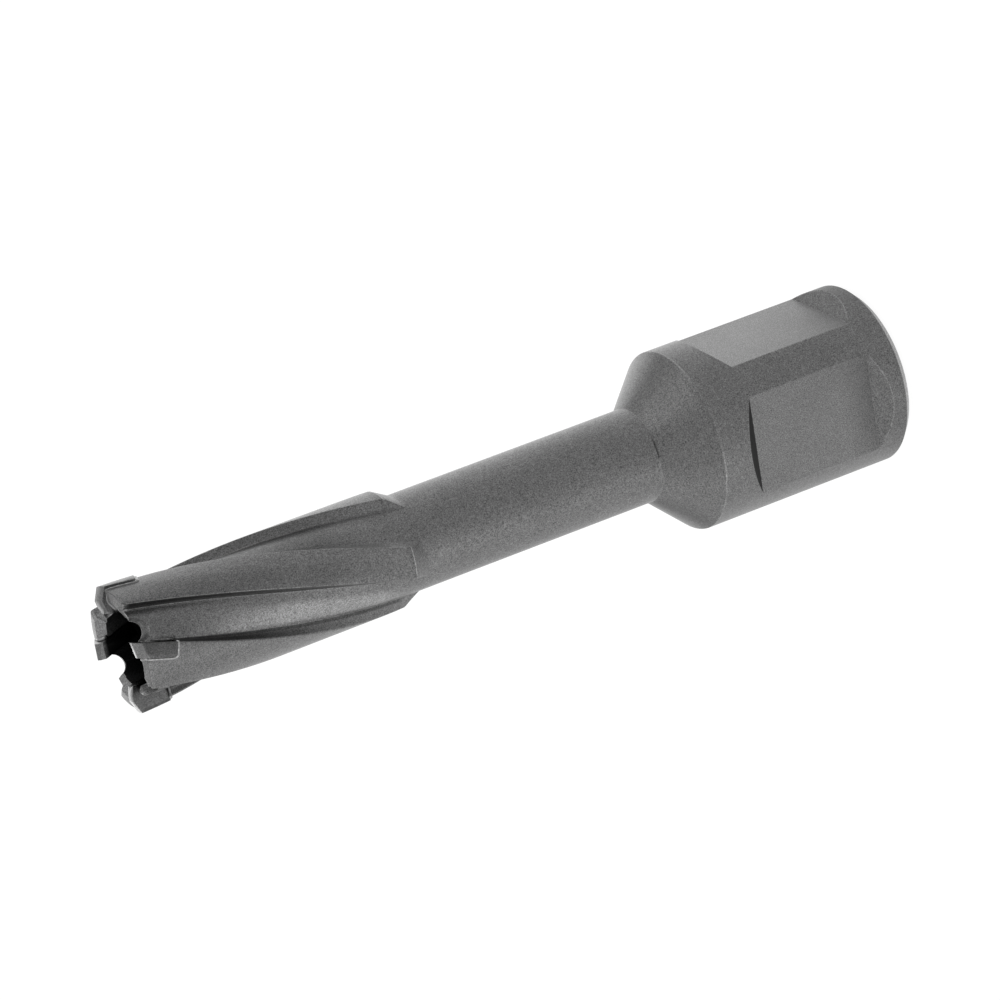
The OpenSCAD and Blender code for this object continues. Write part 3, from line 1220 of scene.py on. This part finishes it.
@dataclass
class BrazedTip:
    """One carbide tip and the silver seam that holds it."""

    sizes: CutterSizes
    number: int
    edge_round: float = 0.035
    hone_depth: float = 0.08
    hone_tilt: float = 7.0
    hone_relief: float = 5.5
    bead_r: float = 0.16
    rake_bead_r: float = 0.2
    end_bead_r: float = 0.24
    end_sink: float = 0.06
    end_gap: float = 0.16
    seed: float = 5.0
    hone_reach: Point2 = (2.5, 7.5)
    rake_gap: float = 0.16
    rake_sink: float = 0.03
    bead_step: float = 0.05
    bead_grain: float = 0.5
    unevenness: float = 0.8
    tip_crisp: float = 35.0
    bead_crisp: float = 40.0

    @property
    def turn(self) -> Matrix:
        """Turn from one tooth's frame to the tool's."""
        degrees = self.sizes.tip_phase + (self.number - 1) * 360 / TOOTH_COUNT
        return Matrix.Rotation(math.radians(degrees), 4, "Z")

    def build_tip(self, material: Material) -> Piece:
        """Copies the tip's solid and softens its edges.

        Args:
            material: Finish of the carbide.

        Returns:
            The tip.
        """
        piece = copy_node(f"carbide_tip_{self.number}", f"tip_{self.number}")
        combine(piece, [self.hone()], Join.CUT)
        bevel = piece.modifiers.new("edges", "BEVEL")
        bevel.width = self.edge_round * MM
        bevel.segments = 2
        bevel.limit_method = "ANGLE"
        bevel.angle_limit = math.radians(18)
        bake_modifiers(piece)
        dress(piece, material, self.tip_crisp)
        return piece

    def hone(self) -> Piece:
        """Cutter for the narrow land that is honed along the inner side of the cutting edge.

        Returns:
            The closed cutter in the tool's frame.
        """
        s = self.sizes
        fall, relief = math.tan(math.radians(self.hone_tilt)), math.tan(math.radians(self.hone_relief))
        high = s.total_l + 2
        sections = []
        for v in (-3.0, 3.0):
            base = s.total_l - self.hone_depth + relief * (v - s.rake_ahead)
            outline = [(u, base + fall * (u - s.tip_apex_r)) for u in self.hone_reach]
            outline += [(u, high) for u in reversed(self.hone_reach)]
            sections.append([tuple(self.turn @ Vector((u, v, z))) for u, z in outline])
        return loft(f"hone_{self.number}", sections)

    def rake_path(self) -> list[tuple[Vector, float]]:
        """Line of the bead in the corner between the rake face and the recess, and up to the outside.

        Returns:
            Points in the tooth's frame in millimetres, each with the bead's radius there.
        """
        s = self.sizes
        line = []
        for i in range(9):
            down = (s.tip_l - s.gullet_depth - 0.2) * i / 8
            v, z = s.leaning(self.rake_gap, -s.gullet_depth - 0.25 - down)
            size = self.rake_bead_r * min(1.0, 0.4 + 0.2 * i)
            line.append((Vector((s.neck_r - self.rake_sink, v, z)), size))
        for i in range(1, 4):
            v, z = s.leaning(self.rake_gap - 0.05 * i, -s.tip_l - s.braze_t / 2)
            line.append((Vector((s.neck_r - self.rake_sink + 0.26 * i, v, z)), self.bead_r))
        return line

    def bead_path(self) -> list[tuple[Vector, float]]:
        """Line of the bead ahead of the tip, on the outside and over the steel end.

        Returns:
            Points in the tool's frame in millimetres, each with the bead's radius there.
        """
        s = self.sizes
        half = s.braze_t / 2
        side, low, r = -s.tip_t - half, -s.tip_l - half, s.tip_round + half
        flat = [(side * i / 6 - 0.08, low) for i in range(5)]
        flat += [tuple(Vector((side + r, low + r)) + p) for p in bow(r, 270, 180, 6)]
        flat += [(side, low + r + (3.1 - r + half) * i / 10) for i in range(1, 11)]
        line = self.rake_path()
        for i, (x, y) in enumerate(flat):
            wide = 1.3 if i < 9 else 1.0
            v, z = s.leaning(x, y)
            reach = max(0.0, s.steel_end_z(s.land_r) - z)
            u = math.sqrt((s.outer_r(z) - 0.02) ** 2 - v ** 2)
            line.append((Vector((u, v, z)), self.bead_r * wide * min(1.0, 0.45 + reach)))
        for i in range(9):
            u = 5.8 - (5.8 - s.slug_r + 0.1) * i / 8
            z = s.total_l - s.steel_back
            for _ in range(4):
                c, t = math.cos(math.radians(s.tip_lean)), math.tan(math.radians(s.tip_lean))
                v = s.rake_ahead + (z - s.total_l) * t - (s.tip_t + self.end_gap) / c
                z = s.steel_end_z(math.hypot(u, v))
            size = self.end_bead_r * min(1.0, 0.2 + 0.15 * i)
            line.append((Vector((u, v, z - self.end_sink)), size))
        return [(self.turn @ p, size) for p, size in line]

    def build_seam(self, material: Material) -> Piece:
        """Copies the seam's solid and lays a frozen bead along its edge.

        Args:
            material: Finish of the silver solder.

        Returns:
            The seam.
        """
        path = self.bead_path()
        mesh = bpy.data.meshes.new("bead_path")
        links = [(i, i + 1) for i in range(len(path) - 1)]
        mesh.from_pydata([tuple(p * MM) for p, _ in path], links, [])
        girth = mesh.attributes.new("girth", "FLOAT", "POINT")
        girth.data.foreach_set("value", [size * MM for _, size in path])
        bead = link_object(f"bead_{self.number}", mesh)
        self.run_bead(bead, material)
        weld(bead.data, bead.data, WELD_CUT)
        piece = copy_node(f"braze_seam_{self.number}", f"braze_{self.number}")
        combine(piece, [bead], Join.FUSE)
        dress(piece, material, self.bead_crisp)
        return piece

    def run_bead(self, bead: Piece, material: Material) -> None:
        """Sweeps an uneven bead along its path with a geometry node tree.

        Args:
            bead: Object that holds the path.
            material: Finish of the silver solder.
        """
        tree = ShapeTree(f"braze_bead_{self.number}", {
            "Step": self.bead_step * MM, "Unevenness": self.unevenness,
            "Grain": 1 / (self.bead_grain * MM), "Seed": self.seed + 2 * self.number})
        curve = tree.node("GeometryNodeMeshToCurve", inputs={"Mesh": tree.inputs["Geometry"]})
        fine = tree.node("GeometryNodeResampleCurve", {"mode": "LENGTH"}, {
            "Curve": curve.outputs[0], "Length": tree.inputs["Step"]})
        spot = tree.node("GeometryNodeInputPosition").outputs[0]
        lumps = tree.node("ShaderNodeTexNoise", {"noise_dimensions": "4D"}, {
            "Vector": spot, "W": tree.inputs["Seed"], "Scale": tree.inputs["Grain"],
            "Detail": 2.0}).outputs[0]
        swell = tree.math("MULTIPLY", tree.math("SUBTRACT", lumps, 0.5), tree.inputs["Unevenness"])
        girth = tree.node("GeometryNodeInputNamedAttribute", {"data_type": "FLOAT"}, {"Name": "girth"})
        radius = tree.math("MULTIPLY", girth.outputs[0], tree.math("ADD", swell, 1.0))
        ring = tree.node("GeometryNodeCurvePrimitiveCircle", inputs={"Resolution": 12, "Radius": 1.0})
        tube = tree.node("GeometryNodeCurveToMesh", inputs={
            "Curve": fine.outputs[0], "Profile Curve": ring.outputs[0], "Scale": radius,
            "Fill Caps": True})
        smooth = tree.node("GeometryNodeSetShadeSmooth", inputs={"Geometry": tube.outputs[0]})
        tree.run(bead, smooth.outputs[0], material)


@dataclass(frozen=True)
class Camera:
    """Camera at the photograph's viewing angle, with the tool seen from the side."""

    target: Point3 = (0.553, 0.259, 43.664)
    azimuth: float = 25.076
    elevation: float = 24.534
    distance: float = 521.667
    roll: float = 110.638
    lens: float = 187.607
    sensor: float = 36.0

    def build(self) -> None:
        """Makes the camera and puts it in the scene."""
        data = bpy.data.cameras.new("photo_camera")
        data.lens = self.lens
        data.sensor_width = self.sensor
        data.clip_start = 0.01
        data.clip_end = 10.0
        camera = link_object("photo_camera", data)
        az, el = math.radians(self.azimuth), math.radians(self.elevation)
        outward = Vector((math.sin(az) * math.cos(el), -math.cos(az) * math.cos(el), math.sin(el)))
        spot = (Vector(self.target) + outward * self.distance) * MM
        roll = Matrix.Rotation(-math.radians(self.roll), 4, "Z")
        camera.matrix_world = Matrix.Translation(spot) @ aim(outward) @ roll
        bpy.context.scene.camera = camera


@dataclass(frozen=True)
class Lamp:
    """A soft round lamp aimed at the middle of the tool."""

    name: str
    degrees: float
    elevation: float
    watts: float
    size: float = 0.35
    distance: float = 0.6

    def build(self, middle: Vector) -> None:
        """Makes the lamp.

        Args:
            middle: Point that the lamp looks at, in metres.
        """
        data = bpy.data.lights.new(self.name, "AREA")
        data.shape = "DISK"
        data.size = self.size
        data.energy = self.watts
        lamp = link_object(self.name, data)
        rise = math.radians(self.elevation)
        flat = polar(math.cos(rise), self.degrees)
        outward = Vector((flat.x, flat.y, math.sin(rise)))
        lamp.matrix_world = Matrix.Translation(middle + outward * self.distance) @ aim(outward)


@dataclass
class Studio:
    """White floor and surround with soft lamps to both sides of the tool."""

    floor_half: float = 3.0
    eye_glow: float = 0.94
    mirror_glow: float = 0.88
    mirror_swing: float = 0.24
    bright_side: float = 145.0
    glow_patch_side: float = 85.0
    glow_patch_strength: float = 1.75
    surround_glow: float = 0.28
    floor_colour: str = "#6a6a6a"
    fill: float = 0.06
    lamp_aim: Point3 = (0.0, 0.0, 0.045)
    lamps: tuple[Lamp, ...] = (
        Lamp("upper_low", 25.0, 8.0, 0.718),
        Lamp("upper_high", 25.0, 62.0, 1.084, 0.5),
        Lamp("front_low", -117.0, 8.0, 1.006),
        Lamp("front_high", -95.0, 62.0, 0.398, 0.5),
        Lamp("lower_mid", -155.0, 32.0, 0.593, 0.5),
        Lamp("lower_low", 175.0, 8.0, 0.374),
        Lamp("back_high", 145.0, 62.0, 0.725, 0.5),
        Lamp("back_low", 115.0, 8.0, 0.686),
        Lamp("far_mid", 85.0, 32.0, 0.374, 0.5),
        Lamp("far_low", 82.0, 8.0, 0.374),
    )

    def build(self) -> None:
        """Makes the floor, the world and the lamps."""
        h = self.floor_half
        mesh = bpy.data.meshes.new("floor")
        mesh.from_pydata([(-h, -h, 0), (h, -h, 0), (h, h, 0), (-h, h, 0)], [], [(0, 1, 2, 3)])
        floor = link_object("floor", mesh)
        floor.data.materials.append(self.floor_material())
        self.build_world()
        for lamp in self.lamps:
            lamp.build(Vector(self.lamp_aim))

    def mirrored(self, nodes: Nodes, path: bpy.types.NodeOutputs) -> Socket:
        """One for rays that metal or glass sends on."""
        return nodes.math("MAXIMUM", path["Is Glossy Ray"], path["Is Transmission Ray"])

    def toward(
        self, nodes: Nodes, outward: Socket, degrees: float, start: float, result: Point2
    ) -> Socket:
        """Strength that grows towards one side of the floor.

        Args:
            nodes: Nodes of the floor.
            outward: Direction from the tool.
            degrees: The side.
            start: Cosine of the angle from that side at which the growth starts.
            result: Strength at the start and on that side.

        Returns:
            The socket of the strength.
        """
        side = tuple(polar(1.0, degrees)) + (0.0,)
        facing = nodes.node("ShaderNodeVectorMath", {"operation": "DOT_PRODUCT"}, {0: outward, 1: side})
        return nodes.node("ShaderNodeMapRange", inputs={
            "Value": facing.outputs["Value"], "From Min": start,
            "To Min": result[0], "To Max": result[1]}).outputs[0]

    def glow(self, nodes: Nodes) -> Socket:
        """Strength of the floor's own white: one for the eye, another for what metal and glass mirror,
        with a painted reflection brighter towards one side and in a patch.

        Args:
            nodes: Nodes of the floor.

        Returns:
            The socket of the strength.
        """
        path = nodes.node("ShaderNodeLightPath").outputs
        eye = nodes.math("MULTIPLY", path["Is Camera Ray"], self.eye_glow)
        spot = nodes.node("ShaderNodeTexCoord").outputs["Object"]
        outward = nodes.node("ShaderNodeVectorMath", {"operation": "NORMALIZE"}, {0: spot}).outputs[0]
        # Painted reflection: for mirrored rays the floor glows brighter towards one side and in a patch
        # towards another, which lights the metal like lamps.
        span = self.mirror_glow * (1 - self.mirror_swing), self.mirror_glow * (1 + self.mirror_swing)
        white = self.toward(nodes, outward, self.bright_side, -1.0, span)
        glow_patch = self.toward(nodes, outward, self.glow_patch_side, 0.5, (1.0, self.glow_patch_strength))
        shown = nodes.math("MULTIPLY", white, glow_patch)
        return nodes.math("MULTIPLY_ADD", self.mirrored(nodes, path), shown, eye)

    def floor_material(self) -> Material:
        """White floor: most of its white is its own, and the rest takes the tool's shadow.

        Returns:
            The node material.
        """
        material = bpy.data.materials.new("white_paper_sweep")
        material.use_nodes = True
        nodes = Nodes(material.node_tree)
        nodes.tree.nodes.clear()
        paper = nodes.node("ShaderNodeBsdfDiffuse", inputs={"Color": linear(self.floor_colour)})
        glow = nodes.node("ShaderNodeEmission", inputs={"Strength": self.glow(nodes)})
        both = nodes.node("ShaderNodeAddShader", inputs={0: paper.outputs[0], 1: glow.outputs[0]})
        nodes.node("ShaderNodeOutputMaterial", inputs={"Surface": both.outputs[0]})
        return material

    def build_world(self) -> None:
        """White surround to the eye, at a plain level as a light."""
        world = bpy.data.worlds.new("white_surround")
        world.use_nodes = True
        nodes = Nodes(world.node_tree)
        path = nodes.node("ShaderNodeLightPath").outputs
        lit = nodes.node("ShaderNodeMapRange", inputs={
            "Value": self.mirrored(nodes, path), "To Min": self.fill,
            "To Max": self.surround_glow}).outputs[0]
        strength = nodes.node("ShaderNodeMapRange", inputs={
            "Value": path["Is Camera Ray"], "To Min": lit, "To Max": 1.0}).outputs[0]
        background = nodes.tree.nodes["Background"]
        background.inputs["Color"].default_value = (1, 1, 1, 1)
        nodes.tree.links.new(strength, background.inputs["Strength"])
        bpy.context.scene.world = world


def place(piece: Piece, node: str) -> None:
    """Puts a finished piece in its CAD node's place.

    Args:
        piece: Finished mesh object.
        node: CAD node that it stands for.
    """
    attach(piece, BODY)
    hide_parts(node)
    log.info("%s for %s: %d faces", piece.name, node, len(piece.data.polygons))


def main() -> None:
    """Builds the cutter, the studio and the camera."""
    logging.basicConfig(level=logging.INFO)
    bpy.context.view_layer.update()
    sizes = CutterSizes()
    steel = BlastedSteel(sizes).material()
    carbide = GroundCarbide().material()
    braze = SilverBraze().material()
    place(CutterBody(sizes).build(steel), "cutter_body")
    for number in range(1, TOOTH_COUNT + 1):
        tip = BrazedTip(sizes, number)
        place(tip.build_tip(carbide), f"carbide_tip_{number}")
        place(tip.build_seam(braze), f"braze_seam_{number}")
    Studio().build()
    Camera().build()
    bpy.context.scene.view_settings.view_transform = "Standard"


if __name__ == "__main__":
    main()
